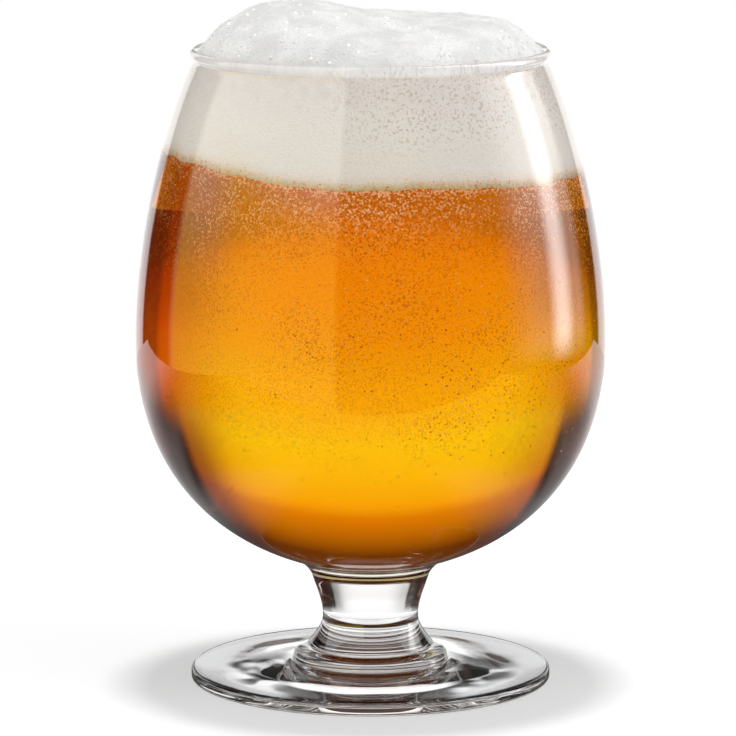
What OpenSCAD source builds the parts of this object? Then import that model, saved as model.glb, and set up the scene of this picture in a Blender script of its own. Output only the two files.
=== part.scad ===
// Stemmed beer glass with a tulip-shaped bowl, filled with beer under a head of foam.
// The origin is the middle of the underside and +Z is up, in millimetres.
// Bowl, stem and foot are three hot-fused pieces of clear glass, stacked on flat seats.

/* [Bowl] */
// Height of the bowl from its seat on the stem to the top of the rim
bowl_h = 100; // [90:1:150]
// Diameter of the bowl at its widest place
belly_d = 88.7; // [76:0.1:110]
// Height of the widest place above the bowl's seat
belly_rise = 45.1; // [38:0.1:58]
// Diameter of the rim over its bead
rim_d = 68; // [56:0.5:74]
// Thickness of the rounded bead on the rim
bead_d = 2; // [1.6:0.1:2.6]
// Thickness of the wall at the widest place
wall = 1.4; // [1:0.1:2.2]
// Thickness of the glass between the bowl's seat and the bottom of the hollow
base_t = 4; // [3.6:0.1:6]
// Diameter at which the fillet above the stem ends and the bowl's curve starts
shoulder_d = 30; // [27:0.5:34]
// Height of that place above the bowl's seat
shoulder_rise = 3.4; // [2.6:0.1:4]
// Angle at which the bowl leaves the fillet, above the horizontal
shoulder_angle = 17.6; // [13:0.2:22]

/* [Stem] */
// Height of the stem from its seat on the foot to its seat under the bowl
stem_h = 16.4; // [14:0.1:60]
// Diameter of the stem where it meets the bowl
stem_top_d = 22.3; // [20:0.1:25]
// Diameter of the neck, the narrowest place of the stem
neck_d = 18.1; // [14:0.1:19]
// Height of the neck above the stem's seat on the foot
neck_rise = 8.3; // [6.5:0.1:11]
// Diameter of the flared ring under the neck
ring_d = 23.8; // [21:0.1:25]
// Height of the ring's edge above the stem's seat
ring_rise = 3.2; // [3.2:0.1:4]
// Thickness of the ring's rounded edge
ring_edge_t = 0.7; // [0.5:0.1:0.8]
// Depth of the groove under the ring, behind the ring's edge
groove_depth = 0.6; // [0.5:0.1:0.9]
// Height of the groove above the stem's seat
groove_rise = 2.3; // [1.8:0.1:2.3]
// Diameter of the rounded collar under the groove
collar_d = 29.1; // [27:0.1:34]
// Height at which the collar is widest above the stem's seat
collar_rise = 0.9; // [0.6:0.1:1.2]

/* [Foot] */
// Diameter of the foot
foot_d = 68.2; // [56:0.1:90]
// Thickness of the foot at its edge
edge_t = 2.2; // [1.8:0.1:2.8]
// Thickness of the foot under the stem, from the table to the stem's seat
hub_t = 3.6; // [3:0.1:5]
// Width of the flat land around the stem's seat
hub_land = 0.4; // [0.2:0.1:1]
// Radius of the rounding at the edge's upper corner
brim_r = 0.7; // [0.4:0.1:0.9]
// Radius of the rounding at the edge's lower corner
heel_r = 0.6; // [0.3:0.1:0.8]
// Width of the flat ring that the foot stands on
rest_w = 4; // [2:0.5:8]
// Depth of the shallow hollow in the underside
hollow_depth = 0.8; // [0.3:0.1:1.2]

/* [Drink] */
// Depth of the beer from the bottom of the hollow to the foam
beer_depth = 75; // [50:1:80]
// Height of the foam's peak above the rim
crown_h = 9; // [7:0.5:14]
// Distance of the foam's peak from the glass's axis
crown_offset = 12; // [0:0.5:16]
// Radius of the flat curve over the top of the foam
crown_r = 140; // [110:5:220]
// Clearance between the glass and what is in it
drink_gap = 0.1; // [0.05:0.05:0.3]

/* [Hidden] */
$fn = 160;
curve_steps = 20;
arc_steps = 10;

// Handles of the bowl's curves, as shares of the radii and heights that each curve spans
low_reach_share = 0.557;
low_rise_share = 0.561;
high_rise_share = 0.304;
rim_reach_share = 0.272;
rim_lean_share = 0.595;
in_low_reach_share = 0.66;
in_low_rise_share = 0.52;
in_rim_reach_share = 0.25;
in_rim_lean_share = 0.493;
fillet_rise_share = 0.45;
fillet_reach_share = 0.4;

// Handles of the stem's curves, in the same way
stem_handle_share = 0.36;
stem_lean_share = 0.45;
neck_handle_share = 0.34;
ring_reach_share = 0.45;
ring_rise_share = 0.28;
collar_reach_share = 0.62;
collar_drop_share = 0.38;

// Handles of the foot's curves, in the same way
slope_reach_share = 0.5;
slope_rise_share = 0.15;
hub_reach_share = 0.18;
hub_drop_share = 0.55;
hollow_flat_share = 0.5;
hollow_reach_share = 0.8;
hollow_lip_share = 0.2;

// Handles of the foam's outline over the rim, as shares of its radius and height
crown_rise_share = 0.38;
crown_round_share = 0.83;
crown_round_rise_share = 0.86;
crown_flat_share = 0.44;
// Share of the foam's height by which its outline stands over the peak, for the flat curve to cut
crown_spare_share = 0.07;

// Angles around the bead's middle at which it leaves the wall outside and inside
bead_out_angle = -75;
bead_in_angle = 180;
// Angle around the middle of the ring's edge at which the neck's curve meets it
ring_edge_angle = 46;

belly_r = belly_d / 2;
hollow_r = belly_r - wall;
bead_r = bead_d / 2;
bead_x = rim_d / 2 - bead_r;
rim_in_r = bead_x - bead_r;
shoulder_r = shoulder_d / 2;
stem_top_r = stem_top_d / 2;
neck_r = neck_d / 2;
edge_r = ring_edge_t / 2;
edge_x = ring_d / 2 - edge_r;
groove_x = ring_d / 2 - groove_depth;
collar_r = collar_d / 2;
land_r = collar_r + hub_land;
foot_r = foot_d / 2;
heel_x = foot_r - heel_r;
brim_x = foot_r - brim_r;
rest_x = heel_x - rest_w;

// Heights above the table
seat_h = hub_t;
collar_h = seat_h + collar_rise;
groove_h = seat_h + groove_rise;
edge_h = seat_h + ring_rise - edge_r;
neck_h = seat_h + neck_rise;
joint_h = seat_h + stem_h;
shoulder_h = joint_h + shoulder_rise;
hollow_h = joint_h + base_t;
belly_h = joint_h + belly_rise;
rim_h = joint_h + bowl_h;
bead_h = rim_h - bead_r;
beer_h = hollow_h + beer_depth;
peak_h = rim_h + crown_h;

// Point on a circle around the place p, at an angle
function on_circle(p, r, angle) = p + r * [cos(angle), sin(angle)];

// Points along a circle around the place p, from one angle to another
function arc(p, r, from, to) = [
    for (i = [0:arc_steps]) on_circle(p, r, from + (to - from) * i / arc_steps)
];

// Points along a cubic curve from a to d with the handles b and c
function curve(a, b, c, d) = [
    for (i = [0:curve_steps])
        let (t = i / curve_steps, s = 1 - t)
        s * s * s * a + 3 * s * s * t * b + 3 * s * t * t * c + t * t * t * d
];

// The line moved inwards by a gap, square to itself, and never past the axis
function inset(line, gap) = [
    for (i = [0:len(line) - 1])
        let (
            step = line[min(i + 1, len(line) - 1)] - line[max(i - 1, 0)],
            along = step / norm(step),
            p = line[i] + gap * [-along.y, along.x]
        )
        [max(0, p.x), p.y]
];

function reversed(line) = [for (i = [len(line) - 1:-1:0]) line[i]];

// Radius of a rising line at a height
function radius_at(line, h) = lookup(h, [for (p = line) [p.y, p.x]]);

// Fillet from the stem to the bowl's curve
function fillet_line() =
    let (
        rise = shoulder_rise * fillet_rise_share,
        reach = (shoulder_r - stem_top_r) * fillet_reach_share
    )
    curve(
        [stem_top_r, joint_h],
        [stem_top_r + rise * stem_lean_share, joint_h + rise],
        [shoulder_r - reach, shoulder_h - reach * tan(shoulder_angle)],
        [shoulder_r, shoulder_h]
    );

// Outside of the bowl, from the fillet up to the widest place
function low_outer_line() =
    let (
        reach = (belly_r - shoulder_r) * low_reach_share,
        rise = (belly_h - shoulder_h) * low_rise_share
    )
    curve(
        [shoulder_r, shoulder_h],
        [shoulder_r + reach, shoulder_h + reach * tan(shoulder_angle)],
        [belly_r, belly_h - rise],
        [belly_r, belly_h]
    );

// Outside of the bowl, from the widest place up to the bead
function high_outer_line() =
    let (
        top = on_circle([bead_x, bead_h], bead_r, bead_out_angle),
        rise = top.y - belly_h,
        lean = belly_r - top.x
    )
    curve(
        [belly_r, belly_h],
        [belly_r, belly_h + rise * high_rise_share],
        [top.x + lean * rim_lean_share, top.y - rise * rim_reach_share],
        top
    );

// Inside of the bowl, from the bottom of the hollow up to the bead
function hollow_line() =
    let (
        low_rise = belly_h - hollow_h,
        high_rise = bead_h - belly_h,
        lean = hollow_r - rim_in_r,
        low = curve(
            [0, hollow_h],
            [hollow_r * in_low_reach_share, hollow_h],
            [hollow_r, belly_h - low_rise * in_low_rise_share],
            [hollow_r, belly_h]
        ),
        high = curve(
            [hollow_r, belly_h],
            [hollow_r, belly_h + high_rise * high_rise_share],
            [rim_in_r + lean * in_rim_lean_share, bead_h - high_rise * in_rim_reach_share],
            [rim_in_r, bead_h]
        )
    )
    concat(low, rest_of(high));

// A line without its first point, which the line before it holds
function rest_of(line) = [for (i = [1:len(line) - 1]) line[i]];

// Outline of the foam over the rim, from the wall to the axis
function crown_line(edge_x) =
    let (
        top_h = peak_h + crown_h * crown_spare_share,
        rise = top_h - bead_h
    )
    curve(
        [edge_x, bead_h],
        [edge_x, bead_h + rise * crown_rise_share],
        [edge_x * crown_round_share, bead_h + rise * crown_round_rise_share],
        [edge_x * crown_flat_share, top_h]
    );

// Space that the drink takes up: the hollow of the bowl less the clearance
drink_line = inset(hollow_line(), drink_gap);
beer_r = radius_at(drink_line, beer_h);

module foot() {
    slope_w = brim_x - land_r;
    slope_h = hub_t - edge_t;
    color([0.86, 0.93, 0.94, 0.45])
        rotate_extrude()
            polygon(concat(
                curve(
                    [0, hollow_depth],
                    [rest_x * hollow_flat_share, hollow_depth],
                    [rest_x * hollow_reach_share, hollow_depth * hollow_lip_share],
                    [rest_x, 0]
                ),
                arc([heel_x, heel_r], heel_r, -90, 0),
                arc([brim_x, edge_t - brim_r], brim_r, 0, 90),
                rest_of(curve(
                    [brim_x, edge_t],
                    [brim_x - slope_w * slope_reach_share, edge_t + slope_h * slope_rise_share],
                    [land_r + slope_w * hub_reach_share, hub_t - slope_h * hub_drop_share],
                    [land_r, hub_t]
                )),
                [[0, hub_t]]
            ));
}

module stem() {
    edge = [edge_x, edge_h];
    meet = on_circle(edge, edge_r, ring_edge_angle);
    neck_span = joint_h - neck_h;
    flare_h = neck_h - meet.y;
    flare_w = meet.x - neck_r;
    collar_w = collar_r - groove_x;
    lean = (stem_top_r - neck_r) * stem_lean_share;
    color([0.82, 0.9, 0.92, 0.45])
        rotate_extrude()
            polygon(concat(
                [[0, seat_h], [collar_r, seat_h]],
                reversed(curve(
                    [groove_x, groove_h],
                    [groove_x + collar_w * collar_reach_share, groove_h],
                    [collar_r, groove_h - (groove_h - collar_h) * collar_drop_share],
                    [collar_r, collar_h]
                )),
                arc(edge, edge_r, -90, ring_edge_angle),
                rest_of(curve(
                    meet,
                    [meet.x - flare_w * ring_reach_share, meet.y + flare_h * ring_rise_share],
                    [neck_r, neck_h - flare_h * neck_handle_share],
                    [neck_r, neck_h]
                )),
                rest_of(curve(
                    [neck_r, neck_h],
                    [neck_r, neck_h + neck_span * stem_handle_share],
                    [stem_top_r - lean, joint_h - neck_span * stem_handle_share],
                    [stem_top_r, joint_h]
                )),
                [[0, joint_h]]
            ));
}

module bowl() {
    color([0.88, 0.95, 0.96, 0.35])
        rotate_extrude()
            polygon(concat(
                [[0, joint_h]],
                fillet_line(),
                rest_of(low_outer_line()),
                rest_of(high_outer_line()),
                rest_of(arc([bead_x, bead_h], bead_r, bead_out_angle, bead_in_angle)),
                rest_of(reversed(hollow_line()))
            ));
}

module beer() {
    color([0.93, 0.56, 0.05, 0.9])
        rotate_extrude()
            polygon(concat(
                [for (p = drink_line) if (p.y < beer_h) p],
                [[beer_r, beer_h], [0, beer_h]]
            ));
}

// The head fills the bowl over the beer and stands over the rim, higher on one side
module foam() {
    edge_x = drink_line[len(drink_line) - 1].x;
    color([0.96, 0.94, 0.89])
        intersection() {
            rotate_extrude()
                polygon(concat(
                    [[0, beer_h], [beer_r, beer_h]],
                    [for (p = drink_line) if (p.y > beer_h && p.y < bead_h) p],
                    crown_line(edge_x),
                    [[0, peak_h + crown_h * crown_spare_share]]
                ));
            translate([-crown_offset, 0, peak_h - crown_r])
                sphere(r = crown_r);
        }
}

foot();
stem();
bowl();
beer();
foam();
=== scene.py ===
# %% [markdown]
# # A stemmed glass of beer
# The real object is a clear tulip-shaped bowl on a short stem and a round foot, filled
# with amber beer under a domed head of foam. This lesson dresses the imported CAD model
# of it: one fused piece of glass, the beer, the foam, and the fine bubbles and drops.

# %% Load the frame
import math

import bpy
import numpy as np
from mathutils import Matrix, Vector, noise


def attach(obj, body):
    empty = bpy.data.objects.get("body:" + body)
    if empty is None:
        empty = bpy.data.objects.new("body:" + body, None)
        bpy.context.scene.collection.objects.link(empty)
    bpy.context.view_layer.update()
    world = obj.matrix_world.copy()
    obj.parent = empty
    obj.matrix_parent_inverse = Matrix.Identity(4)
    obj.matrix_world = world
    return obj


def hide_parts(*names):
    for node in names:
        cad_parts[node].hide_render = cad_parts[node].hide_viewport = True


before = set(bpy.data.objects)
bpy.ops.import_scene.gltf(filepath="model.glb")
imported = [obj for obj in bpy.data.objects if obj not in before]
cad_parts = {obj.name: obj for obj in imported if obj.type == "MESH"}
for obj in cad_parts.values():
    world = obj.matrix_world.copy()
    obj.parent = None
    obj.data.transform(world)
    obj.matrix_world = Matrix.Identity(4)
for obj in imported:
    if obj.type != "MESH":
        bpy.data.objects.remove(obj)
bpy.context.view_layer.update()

MM = 0.001
BODY = "root"


# %% [markdown]
# ## The camera
# A glass is judged by its outline, so the camera comes first. It stands 0.9 m away with
# a long lens, a little above the rim, and looks down by about ten degrees. That shows
# the foot as a flat ellipse and the rim nearly edge-on.

# %% Camera
CAMERA_PLACE = (-0.00047, -0.912, 0.213)
CAMERA_PITCH = 9.56
LENS_MM = 239.67
SENSOR_MM = 36.0

eye = bpy.data.cameras.new("camera")
eye.sensor_fit = "HORIZONTAL"
eye.sensor_width = SENSOR_MM
eye.lens = LENS_MM
camera = bpy.data.objects.new("camera", eye)
camera.location = CAMERA_PLACE
camera.rotation_euler = (math.radians(90.0 - CAMERA_PITCH), 0.0, 0.0)
bpy.context.scene.collection.objects.link(camera)
bpy.context.scene.camera = camera
print("camera at", tuple(camera.location), "lens", eye.lens)

# %% [markdown]
# ## Nodes as sums
# Materials and Geometry Nodes are both trees of nodes. Wiring a tree by hand takes many
# lines, so one small class wraps a socket, and plain sums on it add the Math nodes.
# Any other node comes from one method that takes its type, settings and inputs.


# %% A wrapped socket
class Wire:
    """A node's output, on which sums add Math nodes."""

    def __init__(self, tree, socket):
        self.tree = tree
        self.socket = socket

    def maths(self, operation, *others):
        values = dict(enumerate((self, *others)))
        return add(self.tree, "ShaderNodeMath", {"operation": operation}, values)

    def __add__(self, other):
        return self.maths("ADD", other)

    def __radd__(self, other):
        return self.maths("ADD", other)

    def __sub__(self, other):
        return self.maths("SUBTRACT", other)

    def __rsub__(self, other):
        return add(self.tree, "ShaderNodeMath", {"operation": "SUBTRACT"}, {0: other, 1: self})

    def __mul__(self, other):
        return self.maths("MULTIPLY", other)

    def __rmul__(self, other):
        return self.maths("MULTIPLY", other)

    def __truediv__(self, other):
        return self.maths("DIVIDE", other)

    def __rtruediv__(self, other):
        return add(self.tree, "ShaderNodeMath", {"operation": "DIVIDE"}, {0: other, 1: self})

    def __pow__(self, other):
        return self.maths("POWER", other)

    def between(self, low, high):
        """0 below low, 1 above high, with soft ends. It falls where low is above high."""
        settings = {"interpolation_type": "SMOOTHSTEP"}
        values = {0: self, 1: min(low, high), 2: max(low, high)}
        rising = add(self.tree, "ShaderNodeMapRange", settings, values)
        return rising if low < high else 1.0 - rising

    def less(self, share, low, high):
        """1 below low, and less by a share above high."""
        return 1.0 - share * self.between(low, high)

    def at_least(self, other):
        """The larger of the two."""
        return self.maths("MAXIMUM", other)


def plug(tree, socket, value):
    """Links a wire to a socket, or writes a plain value on it."""
    if isinstance(value, Wire):
        tree.links.new(value.socket, socket)
    else:
        socket.default_value = value


def add(tree, kind, settings=None, inputs=None, out=0):
    """Adds a node: its settings are set first, and then its sockets. Returns an output."""
    node = tree.nodes.new(kind)
    for name, value in (settings or {}).items():
        if name == "stops":
            fill_ramp(node.color_ramp, value)
        else:
            setattr(node, name, value)
    for name, value in (inputs or {}).items():
        plug(tree, node.inputs[name], value)
    return Wire(tree, node.outputs[out])


def fill_ramp(ramp, stops):
    """Writes (place, colour) pairs on a colour ramp."""
    while len(ramp.elements) < len(stops):
        ramp.elements.new(1.0)
    for element, (place, colour) in zip(ramp.elements, stops):
        element.position = place
        element.color = (*colour, 1.0)


# %% A new material and its end
WHITE = (1.0, 1.0, 1.0, 1.0)


def new_material(name):
    """A material with an empty tree, and that tree."""
    material = bpy.data.materials.new(name)
    material.use_nodes = True
    material.node_tree.nodes.clear()
    return material, material.node_tree


def finish_material(material, surface, volume=None):
    """Wires a shader to the material's output."""
    tree = material.node_tree
    output = tree.nodes.new("ShaderNodeOutputMaterial")
    plug(tree, output.inputs["Surface"], surface)
    if volume is not None:
        plug(tree, output.inputs["Volume"], volume)
    print(f"finish {material.name}: {len(tree.nodes)} nodes")


# %% Mixes
def mix_shaders(tree, factor, first, second):
    """Shows first where the factor is 0, and second where it is 1."""
    return add(tree, "ShaderNodeMixShader", {}, {0: factor, 1: first, 2: second})


def mix_colours(tree, factor, first, second, blend="MIX"):
    """Mixes two colours by a factor."""
    settings = {"data_type": "RGBA", "blend_type": blend}
    return add(tree, "ShaderNodeMix", settings, {0: factor, 6: first, 7: second}, out=2)


def times(tree, first, second):
    """Two colours multiplied."""
    return mix_colours(tree, 1.0, first, second, "MULTIPLY")


def scaled(tree, colour, amount):
    """A colour times a number, which may be above 1."""
    settings = {"operation": "SCALE"}
    return add(tree, "ShaderNodeVectorMath", settings, {0: colour, "Scale": amount})


# %% Places, patterns and the main shader
def axes(tree, vector):
    """The three numbers of a vector."""
    outputs = add(tree, "ShaderNodeSeparateXYZ", {}, {0: vector}).socket.node.outputs
    return [Wire(tree, outputs[c]) for c in "XYZ"]


def place_on(tree):
    """Where a point of the piece is, in metres."""
    return add(tree, "ShaderNodeTexCoord", out="Object")


def mark_on(tree, name):
    """A number that the mesh carries at each point."""
    return add(tree, "ShaderNodeAttribute", {"attribute_name": name}, out="Fac")


def light_path(tree, name):
    """What is known of a ray: 1 for its kind, such as Is Camera Ray, or a count."""
    return add(tree, "ShaderNodeLightPath", out=name)


def cloud(tree, place, scale, detail=1.0):
    """A soft noise from 0 to 1, finer with a larger scale."""
    values = {"Vector": place, "Scale": scale, "Detail": detail}
    return add(tree, "ShaderNodeTexNoise", {}, values)


def bumped(tree, height, depth, strength=1.0):
    """A normal that shows relief, up to a depth in metres."""
    values = {"Height": height, "Distance": depth, "Strength": strength}
    return add(tree, "ShaderNodeBump", {}, values)


def principled(tree, values):
    """The main shader, with the values or wires of its sockets."""
    return add(tree, "ShaderNodeBsdfPrincipled", {}, values)


# %% [markdown]
# ## The outline of the glass
# A blown and pressed glass is a body of revolution, so one line from the middle of the
# underside, over the rim and down to the bottom of the hollow, says its whole shape.
# The sizes below are the CAD model's own named sizes in millimetres, and the same cubic
# curves join them. Writing them again as rules, and not as a list of points, lets the
# line be drawn finer here, where refraction would show every facet.

# %% Sizes of the glass in millimetres
BELLY_R = 88.7 / 2
WALL = 1.4
RIM_R = 68.0 / 2
BEAD_R = 1.0
BEAD_START = -75
SHOULDER_R = 15.0
SHOULDER_ANGLE = 17.6
STEM_TOP_R = 22.3 / 2
NECK_R = 18.1 / 2
RING_R = 23.8 / 2
RING_EDGE_R = 0.35
GROOVE_R = RING_R - 0.6
COLLAR_R = 29.1 / 2
LAND_R = COLLAR_R + 0.4
FOOT_R = 68.2 / 2
BRIM_RADIUS = 0.7
HEEL_RADIUS = 0.6
REST_W = 4.0
HOLLOW_DEPTH = 0.8
EDGE_T = 2.2

SEAT_H = 3.6
COLLAR_H = SEAT_H + 0.9
GROOVE_H = SEAT_H + 2.3
RING_H = SEAT_H + 3.2 - RING_EDGE_R
NECK_H = SEAT_H + 8.3
JOINT_H = SEAT_H + 16.4
SHOULDER_H = JOINT_H + 3.4
HOLLOW_H = JOINT_H + 4.0
BELLY_H = JOINT_H + 45.1
RIM_H = JOINT_H + 100.0
BEAD_H = RIM_H - BEAD_R
BEER_H = HOLLOW_H + 75.0
PEAK_H = RIM_H + 9.0

BEAD_X = RIM_R - BEAD_R
RIM_IN_R = BEAD_X - BEAD_R
HOLLOW_R = BELLY_R - WALL
RING_X = RING_R - RING_EDGE_R
HEEL_X = FOOT_R - HEEL_RADIUS
BRIM_X = FOOT_R - BRIM_RADIUS
REST_X = HEEL_X - REST_W
CREASE_R = 0.35


# %% Curves and arcs of an outline
def curve(a, b, c, d, steps=24):
    """Points along a cubic curve from a to d with the handles b and c."""
    t = np.linspace(0.0, 1.0, steps + 1)[:, None]
    s = 1.0 - t
    ends = s**3 * np.array(a) + t**3 * np.array(d)
    return ends + 3 * s * s * t * np.array(b) + 3 * s * t * t * np.array(c)


def arc(middle, radius, start, stop, steps=10):
    """Points along a circle, from one angle to another in degrees."""
    turn = np.radians(np.linspace(start, stop, steps + 1))
    return np.array(middle) + radius * np.stack([np.cos(turn), np.sin(turn)], axis=1)


def joined(*lines):
    """One line of several, each without its first point where that repeats the last."""
    out = [np.array(lines[0], float)]
    for line in lines[1:]:
        line = np.array(line, float)
        same = np.linalg.norm(line[0] - out[-1][-1]) < 0.001
        out.append(line[1:] if same else line)
    return np.concatenate(out)


def moved_out(line, gap):
    """The line moved square to itself, to the right of its way. It stays off the axis."""
    step = np.gradient(line, axis=0)
    step /= np.linalg.norm(step, axis=1)[:, None]
    out = line + gap * np.stack([step[:, 1], -step[:, 0]], axis=1)
    out[:, 0] = np.maximum(out[:, 0], 0.0)
    return out


# %% The foot's outline
def foot_line():
    """Underside, heel, brim and slope of the foot, up to the collar's crease."""
    slope_w = BRIM_X - LAND_R
    slope_h = SEAT_H - EDGE_T
    under = curve(
        (0.0, HOLLOW_DEPTH),
        (REST_X * 0.5, HOLLOW_DEPTH),
        (REST_X * 0.8, HOLLOW_DEPTH * 0.2),
        (REST_X, 0.0),
        steps=20,
    )
    heel = arc((HEEL_X, HEEL_RADIUS), HEEL_RADIUS, -90, 0)
    brim = arc((BRIM_X, EDGE_T - BRIM_RADIUS), BRIM_RADIUS, 0, 90)
    slope = curve(
        (BRIM_X, EDGE_T),
        (BRIM_X - slope_w * 0.5, EDGE_T + slope_h * 0.15),
        (LAND_R + slope_w * 0.18, SEAT_H - slope_h * 0.55),
        (LAND_R, SEAT_H),
    )
    return joined(under, heel, brim, slope)


# %% The stem's outline
def stem_line():
    """Collar, groove, flared ring and neck of the stem."""
    crease = arc((COLLAR_R + CREASE_R, SEAT_H + CREASE_R), CREASE_R, 270, 180, steps=6)
    collar_w = COLLAR_R - GROOVE_R
    collar = curve(
        (COLLAR_R, COLLAR_H),
        (COLLAR_R, GROOVE_H - (GROOVE_H - COLLAR_H) * 0.38),
        (GROOVE_R + collar_w * 0.62, GROOVE_H),
        (GROOVE_R, GROOVE_H),
        steps=20,
    )
    ring = arc((RING_X, RING_H), RING_EDGE_R, -90, 46)
    meet_x, meet_h = ring[-1]
    flare_h = NECK_H - meet_h
    flare_w = meet_x - NECK_R
    flare = curve(
        (meet_x, meet_h),
        (meet_x - flare_w * 0.45, meet_h + flare_h * 0.28),
        (NECK_R, NECK_H - flare_h * 0.34),
        (NECK_R, NECK_H),
    )
    span = JOINT_H - NECK_H
    lean = (STEM_TOP_R - NECK_R) * 0.45
    neck = curve(
        (NECK_R, NECK_H),
        (NECK_R, NECK_H + span * 0.36),
        (STEM_TOP_R - lean, JOINT_H - span * 0.36),
        (STEM_TOP_R, JOINT_H),
    )
    return joined(crease, collar, ring, flare, neck)


# %% The bowl's outline, outside and inside
def outer_line():
    """Fillet over the stem, and the outside of the bowl up to the bead."""
    rise = (SHOULDER_H - JOINT_H) * 0.45
    reach = (SHOULDER_R - STEM_TOP_R) * 0.4
    slope = math.tan(math.radians(SHOULDER_ANGLE))
    fillet = curve(
        (STEM_TOP_R, JOINT_H),
        (STEM_TOP_R + rise * 0.45, JOINT_H + rise),
        (SHOULDER_R - reach, SHOULDER_H - reach * slope),
        (SHOULDER_R, SHOULDER_H),
        steps=12,
    )
    low_reach = (BELLY_R - SHOULDER_R) * 0.557
    low = curve(
        (SHOULDER_R, SHOULDER_H),
        (SHOULDER_R + low_reach, SHOULDER_H + low_reach * slope),
        (BELLY_R, BELLY_H - (BELLY_H - SHOULDER_H) * 0.561),
        (BELLY_R, BELLY_H),
        steps=40,
    )
    top_x, top_h = arc((BEAD_X, BEAD_H), BEAD_R, BEAD_START, BEAD_START)[0]
    rise = top_h - BELLY_H
    high = curve(
        (BELLY_R, BELLY_H),
        (BELLY_R, BELLY_H + rise * 0.304),
        (top_x + (BELLY_R - top_x) * 0.595, top_h - rise * 0.272),
        (top_x, top_h),
        steps=40,
    )
    return joined(fillet, low, high)


def hollow_line():
    """Inside of the bowl, from the bottom of the hollow up to the bead."""
    low_rise = BELLY_H - HOLLOW_H
    high_rise = BEAD_H - BELLY_H
    low = curve(
        (0.0, HOLLOW_H),
        (HOLLOW_R * 0.66, HOLLOW_H),
        (HOLLOW_R, BELLY_H - low_rise * 0.52),
        (HOLLOW_R, BELLY_H),
        steps=40,
    )
    high = curve(
        (HOLLOW_R, BELLY_H),
        (HOLLOW_R, BELLY_H + high_rise * 0.304),
        (RIM_IN_R + (HOLLOW_R - RIM_IN_R) * 0.493, BEAD_H - high_rise * 0.25),
        (RIM_IN_R, BEAD_H),
        steps=40,
    )
    return joined(low, high)


# %% A soft step and lumps for shapes
def smooth(value, low, high):
    """0 below low, 1 above high, with soft ends."""
    t = min(1.0, max(0.0, (value - low) / (high - low)))
    return t * t * (3.0 - 2.0 * t)


def lump(*place):
    """Smooth noise at a place, from about -1 to 1."""
    return noise.noise(Vector(place))


# %% [markdown]
# ## A lathe in Geometry Nodes
# Glass and beer are both turned from a line, so one tree turns any line. It lays a grid
# with a row for each point of the line and a column for each step of the turn, and
# then moves every grid point to its place around the axis. A merge closes the seam and
# the two poles. The tree also gives the faces that touch the drink their own finish,
# because light bends less where glass meets beer than where it meets air.


# %% Start and end of a Geometry Nodes tree
def new_tree(name, sizes):
    """A tree with a Geometry input and output, and named inputs: name to socket kind."""
    tree = bpy.data.node_groups.new(name, "GeometryNodeTree")
    face = tree.interface
    face.new_socket(name="Geometry", in_out="INPUT", socket_type="NodeSocketGeometry")
    for label, kind in sizes.items():
        face.new_socket(name=label, in_out="INPUT", socket_type="NodeSocket" + kind)
    face.new_socket(name="Geometry", in_out="OUTPUT", socket_type="NodeSocketGeometry")
    start = tree.nodes.new("NodeGroupInput")
    given = {s.name: Wire(tree, s) for s in start.outputs if s.name}
    return tree, given


def end_tree(tree, shape):
    """Wires the shape to the tree's output."""
    end = tree.nodes.new("NodeGroupOutput")
    plug(tree, end.inputs["Geometry"], shape)


def run_tree(name, base, tree, values):
    """A plain mesh object from a base mesh, put through a tree with the given inputs."""
    source = bpy.data.objects.new(name + "_source", base)
    bpy.context.scene.collection.objects.link(source)
    modifier = source.modifiers.new("shape", "NODES")
    modifier.node_group = tree
    for item in tree.interface.items_tree:
        if item.in_out == "INPUT" and item.name in values:
            modifier[item.identifier] = values[item.name]
    depsgraph = bpy.context.evaluated_depsgraph_get()
    mesh = bpy.data.meshes.new_from_object(source.evaluated_get(depsgraph))
    mesh.name = name
    bpy.data.objects.remove(source)
    piece = bpy.data.objects.new(name, mesh)
    bpy.context.scene.collection.objects.link(piece)
    return piece


def measure(piece):
    """Prints a piece's triangles and its volume, which is negative if it is inside out."""
    mesh = piece.data
    mesh.calc_loop_triangles()
    co = np.zeros(len(mesh.vertices) * 3)
    mesh.vertices.foreach_get("co", co)
    corners = np.zeros(len(mesh.loop_triangles) * 3, int)
    mesh.loop_triangles.foreach_get("vertices", corners)
    a, b, c = co.reshape(-1, 3)[corners].reshape(-1, 3, 3).transpose(1, 0, 2)
    ml = float(np.einsum("ij,ij->i", a, np.cross(b, c)).sum()) / 6.0 * 1e6
    print(f"{piece.name}: {len(a)} triangles, {ml:.2f} ml")


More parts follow.
